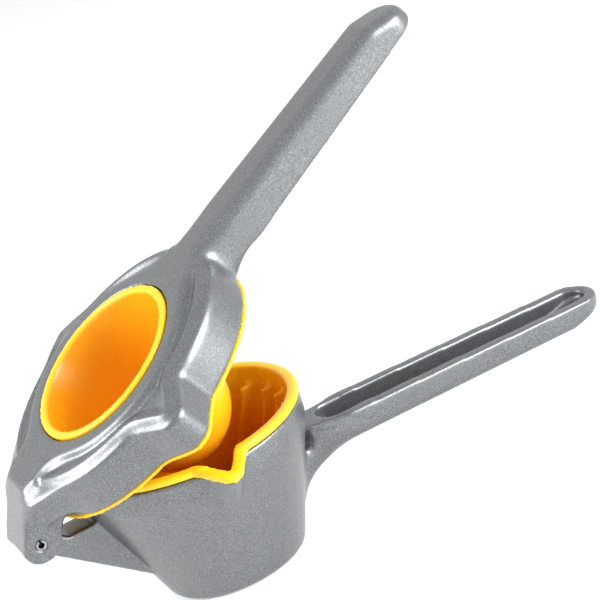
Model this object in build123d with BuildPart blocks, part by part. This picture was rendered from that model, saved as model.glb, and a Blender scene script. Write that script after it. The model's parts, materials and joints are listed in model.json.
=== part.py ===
from build123d import *
from math import acos, atan2, cos, degrees, hypot, radians, sin, tan
import os

# Hinged lemon squeezer. Millimetres. The origin is the middle of the cup's flat foot,
# on the table. +X runs along the lower handle, +Z is up, and the hinge pin lies along Y.
# The upper lever is drawn closed, parallel to the lower one, and then swung open.

# ---------------------------------------------------------------- hinge
hinge_x = -56.0
hinge_z = 42.4
rest_opening = 30.4
pin_diameter = 3.5
pin_bore = 2.0
pin_slot = 0.7
pin_recess = 0.2
pin_running_clearance = 0.06
lug_radius = 3.8
lug_half_width = 5.9
fork_side_clearance = 0.25
ear_thickness = 3.15
ear_radius = 6.3
fork_wall = 1.3
fork_back_gap = 5.5
fork_stop_height = 2.2
fork_blend_lift = 4.0
fork_blend_drop = 1.5
fork_blend_x = -37.0
fork_blend_half_width = 22.0
fork_root_reach = 16.0
fork_web_inset = 0.5
fork_web = 0.6

# ---------------------------------------------------------------- run-on of cuts and joined blocks
overcut = 1.0
overlap = 3.0

# ---------------------------------------------------------------- cup casting
cup_half_length = 39.4
cup_half_width = 35.1
foot_half_length = 23.4
foot_half_width = 18.5
foot_shift = 2.9
foot_rounding = 3.5
cup_rim_height = 51.9
cup_crease_height = 45.0
cup_wall = 2.0
cup_floor = 2.4

# ---------------------------------------------------------------- pouring spouts of the cup
spout_reach = 43.6
spout_tip_radius = 4.0
spout_flank_angle = 34.0
spout_shift = -1.0
spout_drop = 3.0
spout_fade_height = 28.0
spout_fade_depth = 8.0

# ---------------------------------------------------------------- arm to the hinge
arm_top_gap = 0.6
arm_slope = 39.1
arm_root_x = -25.0
arm_knee_gap = 1.2
arm_knee_radius = 1.0
arm_web_inset = 0.9

# ---------------------------------------------------------------- lower handle
lower_handle_tip = 151.0
lower_handle_root = 45.0
lower_handle_root_half_width = 9.4
lower_handle_tip_half_width = 8.8
lower_handle_root_top = 34.8
lower_handle_tip_top = 30.6
lower_handle_root_bottom = 24.8
lower_handle_tip_bottom = 22.0
lower_channel_wall = 4.0
lower_channel_floor = 2.2
lower_channel_start = 44.0
lower_edge_rounding = 3.0
lower_nose_rise = 4.0
lower_gusset_drop = 13.0
lower_gusset_reach = 30.0
lower_gusset_inset = 10.0
gusset_arch_x = 11.0
gusset_arch_drop = 4.8

# ---------------------------------------------------------------- pressing head of the upper lever
head_half_length = 45.5
head_half_width = 39.0
head_edge_height = 39.4
head_plateau_height = 58.2
head_shoulder_drop = 1.2
head_plateau_radius = 33.5
head_wall = 2.0
head_roof = 1.9
head_shoulder_rounding = 4.5
head_inner_rounding = 2.4
plateau_rounding = 1.0
head_spout_reach = 48.8
head_spout_tip_radius = 6.0
head_spout_flank_angle = 39.0
head_spout_blend = 4.0
head_spout_root = 19.5

# ---------------------------------------------------------------- upper handle
upper_handle_tip = 141.7
upper_handle_root = 45.0
upper_handle_root_half_width = 8.9
upper_handle_tip_half_width = 8.0
upper_handle_root_top = 58.5
upper_handle_tip_top = 55.0
upper_handle_root_bottom = 43.8
upper_handle_tip_bottom = 44.6
upper_channel_wall = 2.4
upper_channel_roof = 2.6
upper_channel_start = 51.0
upper_edge_rounding = 4.0
upper_nose_drop = 5.0
handle_nose_length = 13.0
upper_gusset_drop = 3.0
upper_gusset_reach = 8.0

# ---------------------------------------------------------------- yellow cup insert
insert_clearance = 0.1
cup_insert_wall = 1.3
cup_insert_floor = 1.8
lip_thickness = 2.5
lip_overhang = 0.3
rib_spacing = 7.6
rib_count = 7
rib_thickness = 1.5
rib_depth = 3.6
rib_top_gap = 6.4
rib_floor_gap = 1.8

# ---------------------------------------------------------------- yellow press insert
bowl_radius = 20.3
bowl_centre_height = 30.9
bowl_wall = 2.0
bowl_root_radius = 27.3
mouth_ring_width = 2.5
mouth_ring_radius = 27.6
mouth_ring_rise = 0.7
window_clearance = 0.3
press_insert_wall = 0.9
edge_band_height = 1.4

# ---------------------------------------------------------------- worked out
hinge_plane = Plane(origin=(hinge_x, 0, hinge_z), x_dir=(1, 0, 0), z_dir=(0, -1, 0))
hinge_axis = Axis((hinge_x, 0, hinge_z), (0, -1, 0))
slot_half_width = lug_half_width + fork_side_clearance
fork_half_width = slot_half_width + ear_thickness
head_shoulder_height = head_plateau_height - head_shoulder_drop
head_roof_underside = head_shoulder_height - head_roof
casting_edge_height = head_edge_height + edge_band_height
press_insert_inset = head_wall + insert_clearance
press_inner_inset = press_insert_inset + press_insert_wall


def oval_cup(inset, floor, top, rounding):
    """Cup-shaped block: a small oval foot that tapers out to a straight oval neck, shrunk by inset."""
    with BuildPart() as cup:
        with BuildSketch(Plane.XY.offset(floor)):
            with Locations((foot_shift, 0)):
                Ellipse(foot_half_length - inset, foot_half_width - inset)
        with BuildSketch(Plane.XY.offset(cup_crease_height)):
            Ellipse(cup_half_length - inset, cup_half_width - inset)
        loft(ruled=True)
        with BuildSketch(Plane.XY.offset(cup_crease_height)):
            Ellipse(cup_half_length - inset, cup_half_width - inset)
        extrude(amount=top - cup_crease_height)
        fillet(cup.faces().sort_by(Axis.Z)[0].edges(), rounding)
    return cup.part


def spout_outline(reach, tip_radius, flank_angle, root, shift, side):
    """Rounded V in the open sketch, pointing away from the middle on one side."""
    peak = reach - tip_radius + tip_radius / sin(radians(flank_angle))
    spread = (peak - root) * tan(radians(flank_angle))
    Polygon(
        (shift - spread, side * root), (shift, side * peak), (shift + spread, side * root), align=None
    )


def cup_spouts(inset, thickness):
    """Both spouts of the cup as wedges that fade into the wall, shrunk by inset, or just their lips."""
    hinge_line = cup_half_width - cup_wall
    drop_angle = degrees(atan2(spout_drop, spout_reach - hinge_line))
    tip_radius = spout_tip_radius - inset
    reach = spout_reach - inset - hinge_line
    root = -3 * max(inset, 0)
    fade_shift = cup_half_width - spout_fade_depth - spout_reach + hinge_line
    with BuildPart() as wedges:
        for side, tip in ((-1, 0), (1, -1)):
            rim_line = Plane(origin=(0, side * hinge_line, cup_rim_height))
            with BuildSketch(rim_line.rotated((-side * drop_angle, 0, 0))) as mouth:
                spout_outline(reach, tip_radius, spout_flank_angle, root, spout_shift, side)
                fillet(mouth.vertices().sort_by(Axis.Y)[tip], tip_radius)
            if thickness > 0:
                extrude(amount=thickness)
            else:
                fade_plane = Plane(origin=(0, side * fade_shift, spout_fade_height))
                with BuildSketch(fade_plane) as fade:
                    spout_outline(reach, tip_radius, spout_flank_angle, root, spout_shift, side)
                    fillet(fade.vertices().sort_by(Axis.Y)[tip], tip_radius)
                loft()
    return wedges.part


def head_block(inset, bottom, top, rounding):
    """Oval block with a rounded spout on each side and a rounded upper edge, shrunk by inset."""
    tip_radius = head_spout_tip_radius - inset
    with BuildPart() as block:
        with BuildSketch(Plane.XY.offset(bottom)) as outline:
            Ellipse(head_half_length - inset, head_half_width - inset)
            for side in (-1, 1):
                spout_outline(
                    head_spout_reach - inset,
                    tip_radius,
                    head_spout_flank_angle,
                    head_spout_root,
                    spout_shift,
                    side,
                )
            tips = outline.vertices().sort_by(Axis.Y)
            fillet([tips[0], tips[-1]], tip_radius)
            corners = outline.vertices().filter_by(
                lambda v: head_spout_root < abs(v.Y) < head_half_width - inset
            )
            fillet(corners, head_spout_blend + inset)
        extrude(amount=top - bottom)
        if rounding > 0:
            fillet(block.faces().sort_by(Axis.Z)[-1].edges(), rounding)
    return block.part


def tapered_bar(
    root, root_half_width, tip, tip_half_width, root_low, root_high, tip_low, tip_high, nose
):
    """Level bar along +X with round ends in plan.

    At the tip its underside rises by nose, or with a negative nose its top drops.
    """
    low_slope = (tip_low - root_low) / (tip - root)
    high_slope = (tip_high - root_high) / (tip - root)
    back = root_half_width + overcut
    nose_start = tip - handle_nose_length
    with BuildPart() as bar:
        with BuildSketch():
            with Locations((root, 0)):
                Circle(root_half_width)
            with Locations((tip - tip_half_width, 0)):
                Circle(tip_half_width)
            make_hull()
        extrude(amount=2 * max(root_high, tip_high))
        with BuildSketch(Plane.XZ):
            Polygon(
                (root - back, root_low - low_slope * back),
                (nose_start, tip_low - low_slope * handle_nose_length),
                (tip + overcut, tip_low + max(nose, 0)),
                (tip + overcut, tip_high + min(nose, 0)),
                (nose_start, tip_high - high_slope * handle_nose_length),
                (root - back, root_high - high_slope * back),
                align=None,
            )
        extrude(amount=root_half_width + overcut, both=True, mode=Mode.INTERSECT)
    return bar.part


def long_edges(bar, side):
    """Edges round the top (side 1) or the underside (side -1) of a bar, without the fold at its nose."""
    faces = bar.faces().filter_by(lambda face: face.normal_at().Z * side > 0.7)
    return faces.edges().filter_by(Axis.Y, reverse=True)


def bowl_solid(sphere_radius, mouth_radius, mouth_height):
    """Half sphere that runs into a cone up to its mouth."""
    rise = mouth_height - bowl_centre_height
    draft = degrees(acos(sphere_radius / hypot(mouth_radius, rise)) - atan2(rise, mouth_radius))
    with BuildPart() as bowl:
        with BuildSketch(Plane.XZ):
            with BuildLine():
                dome = CenterArc((0, bowl_centre_height), sphere_radius, -90, 90 - draft)
                Polyline(dome @ 1, (mouth_radius, mouth_height), (0, mouth_height), dome @ 0)
            make_face()
        revolve(axis=Axis.Z)
    return bowl.part


# ---------------------------------------------------------------- lower lever
cup_outside = oval_cup(0, 0, cup_rim_height, foot_rounding)
cup_hollow = oval_cup(cup_wall, cup_floor, cup_rim_height + overcut, foot_rounding - cup_wall)
spouts_outside = cup_spouts(0, 0)
spouts_hollow = cup_spouts(cup_wall, 0)
insert_spout_lips = cup_spouts(-lip_overhang, lip_thickness)

with BuildPart() as lower_bar:
    add(
        tapered_bar(
            lower_handle_root,
            lower_handle_root_half_width,
            lower_handle_tip,
            lower_handle_tip_half_width,
            lower_handle_root_bottom,
            lower_handle_root_top,
            lower_handle_tip_bottom,
            lower_handle_tip_top,
            lower_nose_rise,
        )
    )
    fillet(long_edges(lower_bar.part, -1), lower_edge_rounding)

lower_channel = tapered_bar(
    lower_channel_start + lower_handle_root_half_width - lower_channel_wall,
    lower_handle_root_half_width - lower_channel_wall,
    lower_handle_tip - lower_channel_wall,
    lower_handle_tip_half_width - lower_channel_wall,
    lower_handle_root_bottom + lower_channel_floor,
    lower_handle_root_top + overlap,
    lower_handle_tip_bottom + lower_channel_floor,
    lower_handle_tip_top + overlap,
    lower_nose_rise,
)

arm_drop = tan(radians(arm_slope))
arm_foot_gap = lug_radius / cos(radians(arm_slope))
arm_top = head_edge_height - arm_top_gap - hinge_z
arm_length = arm_root_x - hinge_x
arm_knee = -head_half_length - hinge_x - arm_knee_gap
gusset_foot_x = cup_half_length - lower_gusset_inset

with BuildPart() as lower_lever:
    add(cup_outside)
    add(spouts_outside)
    add(lower_bar.part)
    with BuildSketch(Plane.XZ):
        with BuildLine():
            arch = ThreePointArc(
                (gusset_foot_x, lower_handle_root_bottom - lower_gusset_drop),
                (gusset_foot_x + gusset_arch_x, lower_handle_root_bottom - gusset_arch_drop),
                (gusset_foot_x + lower_gusset_reach, lower_handle_root_bottom),
            )
            Polyline(
                arch @ 1,
                (gusset_foot_x + lower_gusset_reach, lower_handle_root_bottom + overlap),
                (0, lower_handle_root_bottom + overlap),
                (0, lower_handle_root_bottom - lower_gusset_drop),
                arch @ 0,
            )
        make_face()
    extrude(amount=lower_handle_root_half_width - lower_edge_rounding, both=True)
    with BuildSketch(hinge_plane):
        Circle(lug_radius)
        with Locations((arm_knee, arm_top - arm_knee_radius)):
            Circle(arm_knee_radius)
        make_hull()
        Polygon(
            (0, -lug_radius), (arm_length, -lug_radius), (arm_length, arm_top), (0, arm_top), align=None
        )
    extrude(amount=lug_half_width, both=True)
    with BuildSketch(hinge_plane):
        Polygon(
            (-lug_radius * sin(radians(arm_slope)), -lug_radius * cos(radians(arm_slope))),
            (arm_length, -arm_foot_gap - arm_length * arm_drop),
            (arm_length, arm_top),
            (arm_knee, arm_top),
            (0, 0),
            align=None,
        )
    extrude(amount=lug_half_width - arm_web_inset, both=True)
    add(cup_hollow, mode=Mode.SUBTRACT)
    add(spouts_hollow, mode=Mode.SUBTRACT)
    add(insert_spout_lips, mode=Mode.SUBTRACT)
    add(lower_channel, mode=Mode.SUBTRACT)
    with BuildSketch(hinge_plane):
        Circle(pin_diameter / 2 + pin_running_clearance)
    extrude(amount=lug_half_width, both=True, mode=Mode.SUBTRACT)
lower_lever.part.label = "lower_lever"

# ---------------------------------------------------------------- cup insert
insert_inset = cup_wall + insert_clearance
insert_inner_inset = insert_inset + cup_insert_wall
insert_rounding = foot_rounding - cup_wall
insert_inner_floor = cup_floor + cup_insert_floor
insert_outside = oval_cup(insert_inset, cup_floor, cup_rim_height, insert_rounding)
lip_top = cup_rim_height + lip_thickness
insert_hollow = oval_cup(insert_inner_inset, insert_inner_floor, lip_top + overcut, insert_rounding)
rib_inset = insert_inner_inset + rib_depth
rib_floor = insert_inner_floor + rib_floor_gap
rib_hollow = oval_cup(rib_inset, rib_floor, cup_rim_height, insert_rounding)
insert_spouts = cup_spouts(insert_inset, 0)
insert_spouts_hollow = cup_spouts(insert_inner_inset, 0)
insert_lips_hollow = cup_spouts(insert_inner_inset, lip_thickness + overcut)

rib_top = lip_top - rib_top_gap

with BuildPart() as ribs:
    with BuildSketch(Plane.XY.offset(insert_inner_floor - cup_insert_floor / 2)):
        with GridLocations(0, rib_spacing, 1, rib_count):
            Rectangle(2 * cup_half_length, rib_thickness)
    extrude(amount=rib_top - insert_inner_floor + cup_insert_floor / 2)
    add(insert_outside, mode=Mode.INTERSECT)
    add(rib_hollow, mode=Mode.SUBTRACT)

with BuildPart() as cup_insert:
    add(insert_outside)
    add(insert_spouts)
    with BuildSketch(Plane.XY.offset(cup_rim_height)):
        Ellipse(cup_half_length + lip_overhang, cup_half_width + lip_overhang)
    extrude(amount=lip_thickness)
    add(insert_spout_lips)
    add(insert_hollow, mode=Mode.SUBTRACT)
    add(insert_spouts_hollow, mode=Mode.SUBTRACT)
    add(insert_lips_hollow, mode=Mode.SUBTRACT)
    add(ribs.part)
cup_insert.part.label = "cup_insert"

# ---------------------------------------------------------------- hinge pin
with BuildPart() as hinge_pin:
    with BuildSketch(hinge_plane):
        Circle(pin_diameter / 2)
        Circle(pin_bore / 2, mode=Mode.SUBTRACT)
        with Locations((0, pin_diameter / 2)):
            Rectangle(pin_slot, pin_diameter, mode=Mode.SUBTRACT)
    extrude(amount=fork_half_width - pin_recess, both=True)
hinge_pin.part.label = "hinge_pin"

# ---------------------------------------------------------------- upper lever
head_outside = head_block(0, casting_edge_height, head_shoulder_height, head_shoulder_rounding)
head_hollow = head_block(head_wall, head_edge_height, head_roof_underside, head_inner_rounding)

with BuildPart() as upper_bar:
    add(
        tapered_bar(
            upper_handle_root,
            upper_handle_root_half_width,
            upper_handle_tip,
            upper_handle_tip_half_width,
            upper_handle_root_bottom,
            upper_handle_root_top,
            upper_handle_tip_bottom,
            upper_handle_tip_top,
            -upper_nose_drop,
        )
    )
    fillet(long_edges(upper_bar.part, 1), upper_edge_rounding)

upper_channel = tapered_bar(
    upper_channel_start + upper_handle_root_half_width - upper_channel_wall,
    upper_handle_root_half_width - upper_channel_wall,
    upper_handle_tip - upper_channel_wall,
    upper_handle_tip_half_width - upper_channel_wall,
    upper_handle_root_bottom - overlap,
    upper_handle_root_top - upper_channel_roof,
    upper_handle_tip_bottom - overlap,
    upper_handle_tip_top - upper_channel_roof,
    -upper_nose_drop,
)

slot_line_gap = (fork_back_gap - fork_wall) / cos(radians(arm_slope))
back_line_gap = fork_back_gap / cos(radians(arm_slope))
fork_top = head_plateau_height - hinge_z
fork_back = (fork_top - back_line_gap) / arm_drop
skirt_back = -head_half_length - hinge_x
slot_top = head_roof_underside - hinge_z - head_roof
slot_front = skirt_back - fork_web

with BuildPart() as fork:
    with BuildSketch(hinge_plane):
        Circle(ear_radius)
        with BuildLine():
            Polyline(
                (fork_back, fork_top),
                (skirt_back + fork_root_reach, fork_top),
                (skirt_back + fork_root_reach, fork_top - head_roof),
                (skirt_back + fork_web_inset, casting_edge_height - hinge_z + fork_web_inset),
                close=True,
            )
        make_face()
        make_hull()
    extrude(amount=fork_half_width, both=True)
    with BuildSketch(Plane.XY.offset(casting_edge_height + fork_blend_lift)):
        Polygon(
            (hinge_x + ear_radius / 2, fork_half_width),
            (fork_blend_x, fork_blend_half_width),
            (fork_blend_x, -fork_blend_half_width),
            (hinge_x + ear_radius / 2, -fork_half_width),
            align=None,
        )
    extrude(amount=head_shoulder_height - fork_blend_drop - casting_edge_height - fork_blend_lift)
    with BuildSketch(hinge_plane):
        Polygon(
            (-3 * ear_radius, back_line_gap - 3 * ear_radius * arm_drop),
            (fork_back, fork_top),
            (fork_back, fork_top + ear_radius),
            (-3 * ear_radius, fork_top + ear_radius),
            align=None,
        )
    extrude(amount=fork_blend_half_width, both=True, mode=Mode.SUBTRACT)

with BuildPart() as fork_slot:
    with BuildSketch(hinge_plane):
        Polygon(
            (-2 * ear_radius, -2 * ear_radius),
            (slot_front, -2 * ear_radius),
            (slot_front, slot_top),
            ((slot_top - slot_line_gap) / arm_drop, slot_top),
            ((fork_stop_height - slot_line_gap) / arm_drop, fork_stop_height),
            (-2 * ear_radius, fork_stop_height),
            align=None,
        )
    extrude(amount=slot_half_width, both=True)

with BuildPart() as closed_lever:
    add(head_outside)
    with BuildSketch(Plane.XY.offset(head_roof_underside)):
        Circle(head_plateau_radius)
    extrude(amount=head_plateau_height - head_roof_underside)
    fillet(closed_lever.faces().sort_by(Axis.Z)[-1].edges(), plateau_rounding)
    add(upper_bar.part)
    with BuildSketch(Plane.XZ):
        Polygon(
            (head_half_length - overlap, upper_handle_root_bottom + overlap),
            (head_half_length - overlap, upper_handle_root_bottom - upper_gusset_drop),
            (head_half_length, upper_handle_root_bottom - upper_gusset_drop),
            (head_half_length + upper_gusset_reach, upper_handle_root_bottom),
            (head_half_length + upper_gusset_reach, upper_handle_root_bottom + overlap),
            align=None,
        )
    extrude(amount=upper_handle_root_half_width - head_wall, both=True)
    add(fork.part)
    add(head_hollow, mode=Mode.SUBTRACT)
    add(upper_channel, mode=Mode.SUBTRACT)
    add(fork_slot.part, mode=Mode.SUBTRACT)
    with BuildSketch(Plane.XY.offset(head_roof_underside - overcut)):
        Circle(mouth_ring_radius + window_clearance)
    extrude(amount=head_plateau_height - head_roof_underside + 2 * overcut, mode=Mode.SUBTRACT)
    with BuildSketch(hinge_plane):
        Circle(pin_diameter / 2)
    extrude(amount=fork_half_width, both=True, mode=Mode.SUBTRACT)

with BuildPart() as upper_lever:
    add(closed_lever.part.rotate(hinge_axis, rest_opening))
upper_lever.part.label = "upper_lever"

# ---------------------------------------------------------------- press insert
mouth_height = head_plateau_height + mouth_ring_rise
liner_roof = head_roof_underside - press_insert_wall
bowl_outside = bowl_solid(bowl_radius, bowl_root_radius, liner_roof)
bowl_hollow = bowl_solid(bowl_radius - bowl_wall, mouth_ring_radius - mouth_ring_width, mouth_height)
edge_band = head_block(0, head_edge_height, casting_edge_height, 0)
liner_rounding = head_inner_rounding - insert_clearance
liner_outside = head_block(press_insert_inset, head_edge_height, head_roof_underside, liner_rounding)
liner_hollow = head_block(
    press_inner_inset, head_edge_height - overcut, liner_roof, liner_rounding - press_insert_wall
)

with BuildPart() as closed_insert:
    add(edge_band)
    add(liner_outside)
    add(liner_hollow, mode=Mode.SUBTRACT)
    with BuildSketch(Plane.XY.offset(liner_roof)):
        Circle(mouth_ring_radius)
    extrude(amount=mouth_height - liner_roof)
    add(bowl_outside)
    add(bowl_hollow, mode=Mode.SUBTRACT)

with BuildPart() as press_insert:
    add(closed_insert.part.rotate(hinge_axis, rest_opening))
press_insert.part.label = "press_insert"

# ---------------------------------------------------------------- write the pieces
os.makedirs("parts", exist_ok=True)
export_step(lower_lever.part, "parts/lower_lever.step")
export_step(cup_insert.part, "parts/cup_insert.step")
export_step(hinge_pin.part, "parts/hinge_pin.step")
export_step(upper_lever.part, "parts/upper_lever.step")
export_step(press_insert.part, "parts/press_insert.step")
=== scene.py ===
import json
import math

import bmesh
import bpy
import numpy as np
from bpy.props import FloatProperty, FloatVectorProperty, IntProperty, PointerProperty
from mathutils import Matrix, Vector


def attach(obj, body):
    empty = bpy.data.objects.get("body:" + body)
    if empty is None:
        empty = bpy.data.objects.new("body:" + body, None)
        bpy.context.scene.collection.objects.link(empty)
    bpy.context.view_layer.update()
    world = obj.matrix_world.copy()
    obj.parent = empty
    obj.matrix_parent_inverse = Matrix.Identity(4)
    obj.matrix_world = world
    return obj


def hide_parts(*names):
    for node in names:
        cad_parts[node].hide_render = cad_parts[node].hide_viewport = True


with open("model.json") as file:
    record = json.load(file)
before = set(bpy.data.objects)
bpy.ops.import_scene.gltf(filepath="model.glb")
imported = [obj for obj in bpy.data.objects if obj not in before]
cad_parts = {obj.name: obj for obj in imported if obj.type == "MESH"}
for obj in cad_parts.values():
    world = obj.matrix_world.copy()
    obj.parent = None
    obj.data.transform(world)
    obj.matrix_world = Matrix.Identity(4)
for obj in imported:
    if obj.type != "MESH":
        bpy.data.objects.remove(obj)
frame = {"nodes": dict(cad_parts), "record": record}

bl_info = {
    "name": "Lemon Squeezer",
    "version": (1, 0, 0),
    "blender": (4, 5, 0),
    "location": "3D View > Sidebar > Squeezer",
    "description": "Painted castings, yellow liners and spring pin of a hinged lemon squeezer",
    "category": "Object",
}

HINGE = Vector(frame["record"]["behaviour"]["joints"][0]["pos_m"])

# Outline of the head seen from above with the levers parallel, in metres.
HEAD_HALF_LENGTH = 0.0455
HEAD_HALF_WIDTH = 0.0390
HEAD_SPOUT_REACH = 0.0488
HEAD_SPOUT_TIP_RADIUS = 0.0060
HEAD_SPOUT_FLANK = math.radians(39.0)
HEAD_SPOUT_SHIFT = -0.001

# Corners that a casting fills with a web: place on the +Y side, and how far the web reaches.
UPPER_WEBS = (
    ((0.0480, 0.0098, 0.0500), 0.014),
    ((-0.0440, 0.0125, 0.0500), 0.014),
)
LOWER_WEBS = (
    ((0.0400, 0.0094, 0.0300), 0.014),
    ((0.0340, 0.0075, 0.0190), 0.009),
    ((-0.0340, 0.0059, 0.0300), 0.008),
)
LOWER_GRAIN_FACTOR = 1.08  # the lower casting is larger, so its squares are too
LOWER_WEB_FACTOR = 2  # and its corners are relaxed this much more often

FLOOR_GLOW = 0.22  # what the pale floor lacks to white, as the camera and reflections see it
CAMERA_PLACE = (-0.14842, -0.56113, 0.32363)
CAMERA_TURN = (64.067, 17.678, -25.349)
CAMERA_SHIFT = (0.10, 0.15)
KEY_LAMP_PLACE = (0.62, -0.62, 0.42)
RIM_LAMP_PLACE = (-0.75, 0.20, 0.45)
LAMP_SIZE = (0.5, 0.5)


# ---------------------------------------------------------------- settings


class CastingSettings(bpy.types.PropertyGroup):
    """Sizes and paint of the two castings."""

    grain: FloatProperty(
        name="Mesh grain",
        description="Size of the squares the cast skin is made of",
        default=0.00062,
        unit="LENGTH",
    )
    edge_passes: IntProperty(
        name="Edge passes",
        description="How often the cast skin is relaxed, which rounds its edges",
        default=5,
        min=0,
    )
    web_passes: IntProperty(
        name="Web passes",
        description="How often the corners between levers, fork and cup are relaxed",
        default=60,
        min=0,
    )
    rest_opening: FloatProperty(
        name="Opening at rest",
        description="Angle between the levers as they stand",
        default=math.radians(30.4),
        subtype="ANGLE",
    )
    plateau_height: FloatProperty(
        name="Plateau height",
        description="Height of the head's top when the levers are parallel",
        default=0.0582,
        unit="LENGTH",
    )
    plateau_radius: FloatProperty(
        name="Plateau radius",
        description="Radius of the flat round the dome's mouth",
        default=0.0316,
        unit="LENGTH",
    )
    plateau_edge: FloatProperty(
        name="Plateau edge",
        description="Rounding of the plateau's edge",
        default=0.0022,
        unit="LENGTH",
    )
    shoulder_height: FloatProperty(
        name="Shoulder height",
        description="Height of the ridge above the skirt",
        default=0.0571,
        unit="LENGTH",
    )
    shoulder_edge: FloatProperty(
        name="Shoulder edge",
        description="How far the skirt leans in below the ridge",
        default=0.0040,
        unit="LENGTH",
    )
    valley_depth: FloatProperty(
        name="Valley depth",
        description="How far the groove between plateau and ridge lies below the ridge",
        default=0.0014,
        unit="LENGTH",
    )
    spout_dip: FloatProperty(
        name="Spout dip",
        description="How far the head's spouts drop at their tips",
        default=0.0026,
        unit="LENGTH",
    )
    paint: FloatVectorProperty(
        name="Paint",
        description="Silver of the paint",
        default=(0.158, 0.168, 0.174),
        subtype="COLOR",
    )
    paint_dark: FloatVectorProperty(
        name="Paint, dark grain",
        description="Darker grains in the paint",
        default=(0.112, 0.120, 0.125),
        subtype="COLOR",
    )
    paint_fleck: FloatVectorProperty(
        name="Paint, fleck",
        description="Bright metal flecks in the paint",
        default=(0.275, 0.284, 0.290),
        subtype="COLOR",
    )


class LinerSettings(bpy.types.PropertyGroup):
    """Mesh and plastic of the two yellow liners."""

    cup_grain: FloatProperty(
        name="Cup liner grain",
        description="Size of the squares the cup liner is made of",
        default=0.00070,
        unit="LENGTH",
    )
    press_grain: FloatProperty(
        name="Press liner grain",
        description="Size of the squares the press liner is made of",
        default=0.00070,
        unit="LENGTH",
    )
    edge_passes: IntProperty(
        name="Edge passes",
        description="How often the plastic is relaxed, which rounds its edges",
        default=3,
        min=0,
    )
    yellow: FloatVectorProperty(
        name="Yellow",
        description="Plastic where light falls through its edge",
        default=(0.94, 0.62, 0.014),
        subtype="COLOR",
    )
    # Painted shade: this orange stands in for the plastic's own shade.
    painted_shade_orange: FloatVectorProperty(
        name="Orange",
        description="Plastic where it stands in its own shade",
        default=(0.90, 0.34, 0.006),
        subtype="COLOR",
    )
    # Painted shade: this amber stands in for the deep shade at the bottom of the cup.
    painted_deep_shade_amber: FloatVectorProperty(
        name="Amber",
        description="Plastic at the bottom of the cup",
        default=(0.66, 0.13, 0.004),
        subtype="COLOR",
    )


class PinSettings(bpy.types.PropertyGroup):
    """Steel of the hinge pin."""

    steel: FloatVectorProperty(
        name="Steel",
        description="Colour of the spring steel",
        default=(0.40, 0.40, 0.41),
        subtype="COLOR",
    )


class StageSettings(bpy.types.PropertyGroup):
    """Floor, lamps and camera."""

    floor_size: FloatProperty(
        name="Floor size",
        description="Length of the floor's side",
        default=6.0,
        unit="LENGTH",
    )
    floor: FloatVectorProperty(
        name="Floor",
        description="Colour of the floor",
        default=(0.9, 0.9, 0.9),
        subtype="COLOR",
    )
    sky: FloatProperty(
        name="Sky",
        description="Brightness of the even light from all round",
        default=0.56,
        min=0,
    )
    key_power: FloatProperty(
        name="Key lamp",
        description="Power of the large lamp to the right of the camera",
        default=14.0,
        min=0,
    )
    rim_power: FloatProperty(
        name="Rim lamp",
        description="Power of the lamp to the left of the object",
        default=8.0,
        min=0,
    )
    lens: FloatProperty(
        name="Lens",
        description="Focal length of the camera in millimetres",
        default=122.97,
    )


# ---------------------------------------------------------------- small tools


def put_in_scene(name, mesh):
    """Object of that name for a mesh, at the origin of the scene."""
    piece = bpy.data.objects.new(name, mesh)
    bpy.context.scene.collection.objects.link(piece)
    return piece


def merged_copy(node, name):
    """Copy of a CAD node's mesh with its loose triangles joined."""
    mesh = frame["nodes"][node].data.copy()
    mesh.materials.clear()
    skin = bmesh.new()
    skin.from_mesh(mesh)
    bmesh.ops.remove_doubles(skin, verts=skin.verts, dist=2e-6)
    skin.to_mesh(mesh)
    skin.free()
    mesh.name = name
    return put_in_scene(name, mesh)


def even_skin(piece, grain):
    """Gives the piece an even skin of small squares."""
    remesh = piece.modifiers.new("even skin", "REMESH")
    remesh.mode = "VOXEL"
    remesh.voxel_size = grain
    remesh.adaptivity = 0.0
    graph = bpy.context.evaluated_depsgraph_get()
    graph.update()
    mesh = bpy.data.meshes.new_from_object(piece.evaluated_get(graph))
    piece.modifiers.clear()
    piece.data = mesh
    return piece


def read_points(piece):
    """Places of the piece's points as rows, in metres."""
    flat = np.empty(len(piece.data.vertices) * 3)
    piece.data.vertices.foreach_get("co", flat)
    return flat.reshape(-1, 3)


def write_points(piece, points):
    """Puts the piece's points in new places."""
    piece.data.vertices.foreach_set("co", points.ravel())
    piece.data.update()


def relax(piece, passes, weight=None, factor=0.5):
    """Draws each point towards the middle of its neighbours, as often as passes says."""
    if passes < 1:
        return
    points = read_points(piece)
    edges = np.empty(len(piece.data.edges) * 2, dtype=np.int64)
    piece.data.edges.foreach_get("vertices", edges)
    first, second = edges[0::2], edges[1::2]
    count = np.bincount(edges, minlength=len(points)).clip(1)[:, None]
    share = factor if weight is None else factor * weight[:, None]
    for _ in range(passes):
        total = np.empty_like(points)
        for axis in range(3):
            total[:, axis] = np.bincount(first, points[second, axis], len(points)) + np.bincount(
                second,
                points[first, axis],
                len(points),
            )
        points += share * (total / count - points)
    write_points(piece, points)


def smooth_step(value, start, end):
    """0 before start, 1 after end, and an even S between them."""
    t = np.clip((value - start) / (end - start), 0.0, 1.0)
    return t * t * (3 - 2 * t)


def soft_least(a, b, blend):
    """The lesser of two heights or distances, with a rounded corner."""
    h = np.clip(0.5 + 0.5 * (b - a) / blend, 0.0, 1.0)
    return b * (1 - h) + a * h - blend * h * (1 - h)


def soft_most(a, b, blend):
    """The greater of two heights or distances, with a rounded corner."""
    return -soft_least(-a, -b, blend)


def turned(points, angle):
    """Points turned about the hinge pin, where a positive angle opens the squeezer."""
    turn = np.array(Matrix.Rotation(angle, 3, Vector((0, -1, 0))))
    pivot = np.array(HINGE)
    return (points - pivot) @ turn.T + pivot


# ---------------------------------------------------------------- materials


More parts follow.
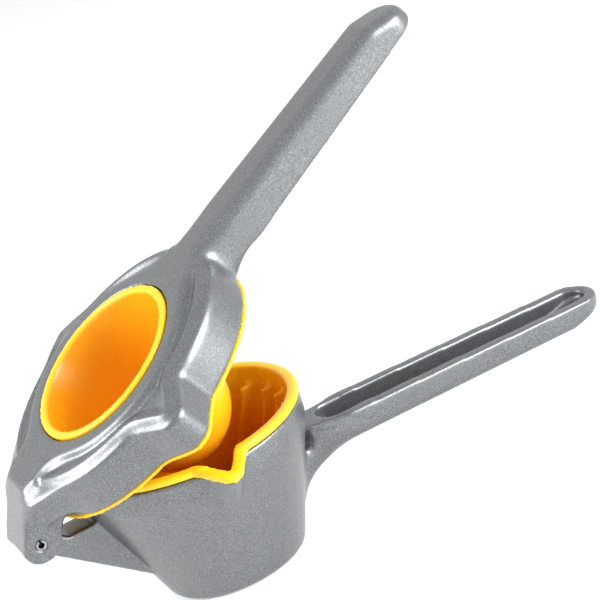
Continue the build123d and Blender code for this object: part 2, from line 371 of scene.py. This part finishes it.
class Shader:
    """A new material with a Principled shader, and short ways to add nodes to it."""

    def __init__(self, name):
        self.material = bpy.data.materials.new(name)
        self.material.use_nodes = True
        self.tree = self.material.node_tree
        self.surface = self.tree.nodes["Principled BSDF"]
        self.place = self.add("ShaderNodeTexCoord").outputs["Object"]

    def add(self, kind, **settings):
        node = self.tree.nodes.new(kind)
        for key, value in settings.items():
            setattr(node, key, value)
        return node

    def join(self, output, socket):
        self.tree.links.new(output, socket)

    def noise(self, scale, detail=2.0, roughness=0.5, place=None):
        node = self.add("ShaderNodeTexNoise")
        node.inputs["Scale"].default_value = scale
        node.inputs["Detail"].default_value = detail
        node.inputs["Roughness"].default_value = roughness
        self.join(place or self.place, node.inputs["Vector"])
        return node.outputs["Fac"]

    def ramp(self, value, *stops):
        node = self.add("ShaderNodeValToRGB")
        elements = node.color_ramp.elements
        while len(elements) < len(stops):
            elements.new(0.5)
        for element, (position, colour) in zip(elements, stops):
            element.position = position
            element.color = (*colour, 1.0)
        self.join(value, node.inputs["Fac"])
        return node.outputs["Color"]

    def spread(self, value, low, high, out_low=0.0, out_high=1.0):
        node = self.add("ShaderNodeMapRange")
        node.inputs["From Min"].default_value = low
        node.inputs["From Max"].default_value = high
        node.inputs["To Min"].default_value = out_low
        node.inputs["To Max"].default_value = out_high
        self.join(value, node.inputs["Value"])
        return node.outputs["Result"]

    def blend(self, factor, first, second, how="MIX"):
        node = self.add("ShaderNodeMix", data_type="RGBA", blend_type=how)
        for value, socket in (
            (factor, node.inputs["Factor"]),
            (first, node.inputs["A"]),
            (second, node.inputs["B"]),
        ):
            if isinstance(value, bpy.types.NodeSocket):
                self.join(value, socket)
            elif isinstance(value, float):
                socket.default_value = value
            else:
                socket.default_value = (*value, 1.0)
        return node.outputs["Result"]

    def maths(self, how, first, second=0.0):
        node = self.add("ShaderNodeMath", operation=how)
        for value, socket in ((first, node.inputs[0]), (second, node.inputs[1])):
            if isinstance(value, bpy.types.NodeSocket):
                self.join(value, socket)
            else:
                socket.default_value = value
        return node.outputs["Value"]

    def bump(self, height, strength, distance, below=None):
        node = self.add("ShaderNodeBump")
        node.inputs["Strength"].default_value = strength
        node.inputs["Distance"].default_value = distance
        self.join(height, node.inputs["Height"])
        if below:
            self.join(below, node.inputs["Normal"])
        return node.outputs["Normal"]


def silver_paint():
    """Silver hammer paint: fine dark and bright grains in a satin coat over cast metal."""
    casting = bpy.context.scene.squeezer_casting
    paint = Shader("silver_paint")
    grain = paint.noise(2400.0, 3.0, 0.6)
    cloud = paint.noise(300.0, 3.0, 0.6)
    pits = paint.noise(900.0, 2.0, 0.5)
    base = paint.ramp(
        grain,
        (0.32, casting.paint_dark),
        (0.50, casting.paint),
        (0.72, casting.paint_fleck),
    )
    shade = paint.spread(cloud, 0.3, 0.7, 0.95, 1.05)
    grey = paint.add("ShaderNodeCombineColor")
    for socket in grey.inputs:
        paint.join(shade, socket)
    colour = paint.blend(1.0, base, grey.outputs["Color"], "MULTIPLY")
    paint.join(colour, paint.surface.inputs["Base Color"])
    paint.join(paint.spread(grain, 0.3, 0.7, 0.40, 0.32), paint.surface.inputs["Roughness"])
    low = paint.bump(pits, 0.16, 0.0001)
    paint.join(paint.bump(grain, 0.14, 0.00005, low), paint.surface.inputs["Normal"])
    paint.surface.inputs["Metallic"].default_value = 0.72
    paint.surface.inputs["Coat Weight"].default_value = 0.2
    paint.surface.inputs["Coat Roughness"].default_value = 0.25
    return paint.material


def liner_plastic(name, painted_shade_of):
    """Glossy yellow plastic, with painted shade that turns it orange and amber with depth."""
    liner = bpy.context.scene.squeezer_liner
    plastic = Shader(name)
    shade_amount = painted_shade_of(plastic)
    drift = plastic.spread(plastic.noise(45.0, 2.0), 0.3, 0.7, -0.03, 0.03)
    shade_amount = plastic.maths("ADD", shade_amount, drift)
    # Painted shade: the plastic's yellow turns orange and amber where it lies deep in its own
    # shade.
    colour = plastic.ramp(shade_amount, (0.0, liner.yellow), (0.35, liner.painted_shade_orange), (1.0, liner.painted_deep_shade_amber))
    plastic.join(colour, plastic.surface.inputs["Base Color"])
    fine = plastic.noise(900.0, 2.0)
    plastic.join(plastic.spread(fine, 0.3, 0.7, 0.24, 0.32), plastic.surface.inputs["Roughness"])
    plastic.join(plastic.bump(fine, 0.08, 0.00005), plastic.surface.inputs["Normal"])
    plastic.surface.inputs["Specular IOR Level"].default_value = 0.45
    plastic.surface.inputs["Subsurface Weight"].default_value = 0.12
    plastic.surface.inputs["Subsurface Radius"].default_value = (1.0, 0.45, 0.08)
    plastic.surface.inputs["Subsurface Scale"].default_value = 0.0015
    return plastic.material


def cup_painted_shade(plastic):
    """Amount of painted shade: 0 on the lip of the cup liner and 1 at its floor."""
    split = plastic.add("ShaderNodeSeparateXYZ")
    plastic.join(plastic.place, split.inputs["Vector"])
    return plastic.spread(split.outputs["Z"], 0.0528, 0.008)


def press_painted_shade(plastic):
    """Amount of painted shade: 0 on the mouth ring and the edge band, and a little more on the dome
    between them.
    """
    opening = bpy.context.scene.squeezer_casting.rest_opening
    shift = plastic.add("ShaderNodeVectorMath", operation="SUBTRACT")
    shift.inputs[1].default_value = HINGE
    plastic.join(plastic.place, shift.inputs[0])
    turn = plastic.add("ShaderNodeVectorRotate", rotation_type="AXIS_ANGLE")
    turn.inputs["Axis"].default_value = (0, -1, 0)
    turn.inputs["Angle"].default_value = -opening
    plastic.join(shift.outputs["Vector"], turn.inputs["Vector"])
    split = plastic.add("ShaderNodeSeparateXYZ")
    plastic.join(turn.outputs["Vector"], split.inputs["Vector"])
    height = plastic.maths("ADD", split.outputs["Z"], HINGE.z)
    from_top = plastic.spread(height, 0.0584, 0.0574)
    out_x = plastic.maths("ADD", split.outputs["X"], HINGE.x)
    radius = plastic.maths(
        "SQRT",
        plastic.maths(
            "ADD",
            plastic.maths("POWER", out_x, 2.0),
            plastic.maths("POWER", split.outputs["Y"], 2.0),
        ),
    )
    band = plastic.maths(
        "MULTIPLY",
        plastic.spread(height, 0.0414, 0.0404),
        plastic.spread(radius, 0.028, 0.031),
    )
    # Painted shade on the dome, none on the edge band.
    shade_amount = plastic.maths("MULTIPLY", from_top, plastic.maths("SUBTRACT", 1.0, band))
    return plastic.maths("MULTIPLY", shade_amount, 0.24)


def spring_steel():
    """Plain rolled steel with faint marks round the pin."""
    steel = Shader("spring_steel")
    marks = steel.noise(900.0, 3.0, 0.7)
    tone = tuple(bpy.context.scene.squeezer_pin.steel)
    dark = tuple(0.55 * part for part in tone)
    steel.join(steel.ramp(marks, (0.35, dark), (0.65, tone)), steel.surface.inputs["Base Color"])
    steel.join(steel.spread(marks, 0.3, 0.7, 0.26, 0.42), steel.surface.inputs["Roughness"])
    steel.join(steel.bump(marks, 0.2, 0.00004), steel.surface.inputs["Normal"])
    steel.surface.inputs["Metallic"].default_value = 1.0
    return steel.material


def floor_finish():
    """Pale matt floor, a little brighter to the camera so that it reads as white."""
    stage = bpy.context.scene.squeezer_stage
    floor = Shader("floor_finish")
    cloud = floor.noise(3.0)
    pale = tuple(stage.floor)
    floor.join(
        floor.ramp(cloud, (0.3, tuple(0.985 * part for part in pale)), (0.7, pale)),
        floor.surface.inputs["Base Color"],
    )
    floor.surface.inputs["Roughness"].default_value = 0.9
    floor.surface.inputs["Specular IOR Level"].default_value = 0.1
    path = floor.add("ShaderNodeLightPath")
    seen = floor.maths(
        "MAXIMUM",
        path.outputs["Is Camera Ray"],
        floor.maths("MAXIMUM", path.outputs["Is Glossy Ray"], path.outputs["Is Transmission Ray"]),
    )
    floor.surface.inputs["Emission Color"].default_value = (1, 1, 1, 1)
    floor.join(floor.maths("MULTIPLY", seen, FLOOR_GLOW), floor.surface.inputs["Emission Strength"])
    return floor.material


# ---------------------------------------------------------------- shapes of the castings


def head_edge_distance(x, y):
    """How far a point lies inside the head's outline, seen from above with the levers parallel."""
    half_length, half_width = HEAD_HALF_LENGTH, HEAD_HALF_WIDTH
    reach, tip_radius = HEAD_SPOUT_REACH, HEAD_SPOUT_TIP_RADIUS
    flank, shift = HEAD_SPOUT_FLANK, HEAD_SPOUT_SHIFT
    ratio = np.sqrt((x / half_length) ** 2 + (y / half_width) ** 2).clip(1e-6)
    slope = np.sqrt((x / half_length**2) ** 2 + (y / half_width**2) ** 2).clip(1e-3)
    oval = (1 - ratio) * ratio / slope
    peak = reach - tip_radius + tip_radius / math.sin(flank)
    out, side = np.abs(y), np.abs(x - shift)
    spout = ((peak - out) * math.tan(flank) - side) * math.cos(flank)
    tip_centre = reach - tip_radius
    past_tip = (out - tip_centre) > side * math.tan(flank)
    spout = np.where(past_tip, tip_radius - np.hypot(side, out - tip_centre), spout)
    return soft_most(oval, spout, 0.003)


def spout_dip(x, y, z):
    """How far the head's spouts drop at a point, with the levers parallel."""
    casting = bpy.context.scene.squeezer_casting
    out = smooth_step(np.abs(y), 0.0345, 0.0475) * (np.abs(x) < 0.03)
    return casting.spout_dip * out * smooth_step(z, 0.0470, 0.0562)


def shape_head_top(piece):
    """Models the head's top: rounded plateau, groove, ridge and dipped spouts."""
    casting = bpy.context.scene.squeezer_casting
    points = turned(read_points(piece), -casting.rest_opening)
    x, y, z = points[:, 0].copy(), points[:, 1].copy(), points[:, 2].copy()
    inside = head_edge_distance(x, y)
    radius = np.hypot(x, y)
    disc = radius - casting.plateau_radius
    grip_width = 0.0078 - 0.010 * np.clip(x - 0.045, 0.0, 0.05)
    grip = np.where(x > 0, np.abs(y) - grip_width, 0.05)
    fork = np.where(x < 0, np.abs(y) - 0.0086, 0.05)
    beyond = soft_least(soft_least(disc, grip, 0.012), fork, 0.009).clip(0.0)
    round_edge = casting.plateau_edge
    arc = round_edge - np.sqrt(
        np.clip(round_edge**2 - np.minimum(beyond, 0.84 * round_edge) ** 2, 0.0, None),
    )
    top = casting.plateau_height - arc - 1.5 * np.clip(beyond - 0.84 * round_edge, 0.0, None)
    edge = casting.shoulder_edge
    lean = 1.9 * edge
    inner = np.clip(lean - inside, 0.0, lean)
    at_ridge = lean - math.sqrt(lean**2 - (lean - edge) ** 2)
    fall = lean - np.sqrt(np.clip(lean**2 - inner**2, 0.0, None)) - at_ridge
    groove = casting.valley_depth * (0.6 + 0.4 * smooth_step(x, -0.030, 0.030)) * smooth_step(
        inside,
        edge,
        edge + 0.0036,
    )
    ridge = casting.shoulder_height - np.where(inside < edge, fall, groove)
    height = soft_most(top, ridge, 0.0009)
    part = smooth_step(inside, 0.0006, 0.0022) * smooth_step(z, 0.0548, 0.0556) * smooth_step(
        radius,
        0.0281,
        0.0284,
    )
    part = part * smooth_step(x, -0.0470, -0.0425) * (1 - smooth_step(x, 0.0400, 0.0455))
    z += part * (height - z)
    points[:, 2] = z - spout_dip(x, y, z)
    write_points(piece, turned(points, casting.rest_opening))


def near(points, place, reach):
    """1 at a place and 0 from reach on, for each point."""
    return 1 - smooth_step(np.linalg.norm(points - np.array(place), axis=1), 0.35 * reach, reach)


def dressed(piece, body, slot, material, *nodes):
    """Gives a finished piece its material and its body, and hides the CAD nodes it stands for."""
    piece.data.materials.clear()
    piece.data.materials.append(material)
    piece.data.shade_smooth()
    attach(piece, body)
    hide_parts(*nodes)


# ---------------------------------------------------------------- one operator for each piece


class SQUEEZER_OT_upper_casting(bpy.types.Operator):
    """Upper lever: pressing head, fork and upper handle in one casting"""

    bl_idname = "squeezer.upper_casting"
    bl_label = "Upper casting"

    def execute(self, context):
        casting = context.scene.squeezer_casting
        piece = even_skin(merged_copy("upper_lever", "upper_casting"), casting.grain)
        shape_head_top(piece)
        closed = turned(read_points(piece), -casting.rest_opening)
        mirrored = closed * np.array((1, 0, 1)) + np.abs(closed) * np.array((0, 1, 0))
        outside = smooth_step(head_edge_distance(closed[:, 0], closed[:, 1]), 0.0026, 0.0014)
        webs = sum(near(mirrored, place, reach) for place, reach in UPPER_WEBS)
        relax(piece, casting.web_passes, webs.clip(0.0, 1.0) * outside)
        ridge = smooth_step(closed[:, 2], 0.0545, 0.0555) * smooth_step(
            head_edge_distance(closed[:, 0], closed[:, 1]),
            0.0015,
            0.003,
        )
        relax(piece, casting.edge_passes, 1 - 0.6 * ridge)
        dressed(piece, "upper", "casting", silver_paint(), "upper_lever")
        return {"FINISHED"}


class SQUEEZER_OT_lower_casting(bpy.types.Operator):
    """Lower lever: cup, hinge arm and lower handle in one casting"""

    bl_idname = "squeezer.lower_casting"
    bl_label = "Lower casting"

    def execute(self, context):
        casting = context.scene.squeezer_casting
        piece = even_skin(
            merged_copy("lower_lever", "lower_casting"),
            casting.grain * LOWER_GRAIN_FACTOR,
        )
        points = read_points(piece)
        mirrored = points * np.array((1, 0, 1)) + np.abs(points) * np.array((0, 1, 0))
        webs = sum(near(mirrored, place, reach) for place, reach in LOWER_WEBS)
        channel = (1 - smooth_step(mirrored[:, 1], 0.0062, 0.0080)) * smooth_step(
            points[:, 2],
            0.0255,
            0.0275,
        )
        relax(piece, LOWER_WEB_FACTOR * casting.web_passes, webs.clip(0.0, 1.0) * (1 - channel))
        relax(piece, casting.edge_passes)
        dressed(piece, "lower", "casting", silver_paint(), "lower_lever")
        return {"FINISHED"}


class SQUEEZER_OT_cup_liner(bpy.types.Operator):
    """Yellow liner of the cup, with its lip, spouts and ribs"""

    bl_idname = "squeezer.cup_liner"
    bl_label = "Cup liner"

    def execute(self, context):
        liner = context.scene.squeezer_liner
        piece = even_skin(merged_copy("cup_insert", "cup_liner"), liner.cup_grain)
        relax(piece, min(liner.edge_passes, 1))
        dressed(piece, "lower", "liner", liner_plastic("cup_plastic", cup_painted_shade), "cup_insert")
        return {"FINISHED"}


class SQUEEZER_OT_press_liner(bpy.types.Operator):
    """Yellow liner of the head, with its hollow pressing dome"""

    bl_idname = "squeezer.press_liner"
    bl_label = "Press liner"

    def execute(self, context):
        liner = context.scene.squeezer_liner
        piece = even_skin(merged_copy("press_insert", "press_liner"), liner.press_grain)
        points = turned(read_points(piece), -context.scene.squeezer_casting.rest_opening)
        points[:, 2] -= spout_dip(*points.T) * smooth_step(
            np.hypot(points[:, 0], points[:, 1]),
            0.0290,
            0.0310,
        )
        write_points(piece, turned(points, context.scene.squeezer_casting.rest_opening))
        relax(piece, liner.edge_passes)
        dressed(
            piece,
            "upper",
            "liner",
            liner_plastic("press_plastic", press_painted_shade),
            "press_insert",
        )
        return {"FINISHED"}


class SQUEEZER_OT_hinge_pin(bpy.types.Operator):
    """Slotted spring pin that joins the levers"""

    bl_idname = "squeezer.hinge_pin"
    bl_label = "Hinge pin"

    def execute(self, context):
        pin = frame["nodes"]["hinge_pin"]
        pin.data.materials.clear()
        pin.data.materials.append(spring_steel())
        return {"FINISHED"}


def soft_lamp(name, place, aim, size, power):
    """Large square lamp at a place, turned towards a point."""
    lamp = bpy.data.lights.new(name, "AREA")
    lamp.shape = "RECTANGLE"
    lamp.size, lamp.size_y = size
    lamp.energy = power
    holder = bpy.data.objects.new(name, lamp)
    holder.location = place
    holder.rotation_euler = (Vector(aim) - Vector(place)).to_track_quat("-Z", "Y").to_euler()
    bpy.context.scene.collection.objects.link(holder)


class SQUEEZER_OT_stage(bpy.types.Operator):
    """Pale floor, soft lamps, even sky and camera"""

    bl_idname = "squeezer.stage"
    bl_label = "Stage"

    def execute(self, context):
        stage = context.scene.squeezer_stage
        sheet = bmesh.new()
        bmesh.ops.create_grid(sheet, x_segments=8, y_segments=8, size=stage.floor_size / 2)
        mesh = bpy.data.meshes.new("floor")
        sheet.to_mesh(mesh)
        sheet.free()
        floor = put_in_scene("floor", mesh)
        mesh.materials.append(floor_finish())

        soft_lamp("key_lamp", KEY_LAMP_PLACE, (0.0, 0.0, 0.05), LAMP_SIZE, stage.key_power)
        soft_lamp("rim_lamp", RIM_LAMP_PLACE, (0.0, 0.0, 0.06), LAMP_SIZE, stage.rim_power)

        world = bpy.data.worlds.new("even_sky")
        context.scene.world = world
        world.use_nodes = True
        tree = world.node_tree
        sky = tree.nodes["Background"]
        sky.inputs["Color"].default_value = (1, 1, 1, 1)
        path = tree.nodes.new("ShaderNodeLightPath")
        seen = path.outputs["Is Camera Ray"]
        for ray in ("Is Glossy Ray", "Is Transmission Ray"):
            either = tree.nodes.new("ShaderNodeMath")
            either.operation = "MAXIMUM"
            tree.links.new(seen, either.inputs[0])
            tree.links.new(path.outputs[ray], either.inputs[1])
            seen = either.outputs["Value"]
        level = tree.nodes.new("ShaderNodeMapRange")
        level.inputs["To Min"].default_value = stage.sky
        tree.links.new(seen, level.inputs["Value"])
        tree.links.new(level.outputs["Result"], sky.inputs["Strength"])

        camera = bpy.data.objects.new("camera", bpy.data.cameras.new("camera"))
        camera.data.lens = stage.lens
        camera.data.sensor_width = 36.0
        camera.data.shift_x, camera.data.shift_y = CAMERA_SHIFT
        camera.location = CAMERA_PLACE
        camera.rotation_euler = tuple(math.radians(v) for v in CAMERA_TURN)
        context.scene.collection.objects.link(camera)
        context.scene.camera = camera
        context.scene.view_settings.view_transform = "Standard"
        return {"FINISHED"}


class SQUEEZER_PT_panel(bpy.types.Panel):
    """Sizes, colours and makers of the lemon squeezer"""

    bl_idname = "SQUEEZER_PT_panel"
    bl_label = "Lemon squeezer"
    bl_space_type = "VIEW_3D"
    bl_region_type = "UI"
    bl_category = "Squeezer"

    def draw(self, context):
        for settings in ("squeezer_casting", "squeezer_liner", "squeezer_pin", "squeezer_stage"):
            box = self.layout.box()
            group = getattr(context.scene, settings)
            for key in group.bl_rna.properties.keys():
                if key not in ("rna_type", "name"):
                    box.prop(group, key)
        for operator in MAKERS:
            self.layout.operator(operator.bl_idname)


SETTINGS = {
    "squeezer_casting": CastingSettings,
    "squeezer_liner": LinerSettings,
    "squeezer_pin": PinSettings,
    "squeezer_stage": StageSettings,
}
MAKERS = (
    SQUEEZER_OT_upper_casting,
    SQUEEZER_OT_lower_casting,
    SQUEEZER_OT_cup_liner,
    SQUEEZER_OT_press_liner,
    SQUEEZER_OT_hinge_pin,
    SQUEEZER_OT_stage,
)


def register():
    for name, group in SETTINGS.items():
        bpy.utils.register_class(group)
        setattr(bpy.types.Scene, name, PointerProperty(type=group))
    for maker in MAKERS:
        bpy.utils.register_class(maker)
    bpy.utils.register_class(SQUEEZER_PT_panel)


def unregister():
    bpy.utils.unregister_class(SQUEEZER_PT_panel)
    for maker in reversed(MAKERS):
        bpy.utils.unregister_class(maker)
    for name, group in reversed(SETTINGS.items()):
        delattr(bpy.types.Scene, name)
        bpy.utils.unregister_class(group)


def main():
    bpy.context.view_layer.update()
    register()
    bpy.ops.squeezer.upper_casting()
    bpy.ops.squeezer.lower_casting()
    bpy.ops.squeezer.cup_liner()
    bpy.ops.squeezer.press_liner()
    bpy.ops.squeezer.hinge_pin()
    bpy.ops.squeezer.stage()


if __name__ == "__main__":
    main()
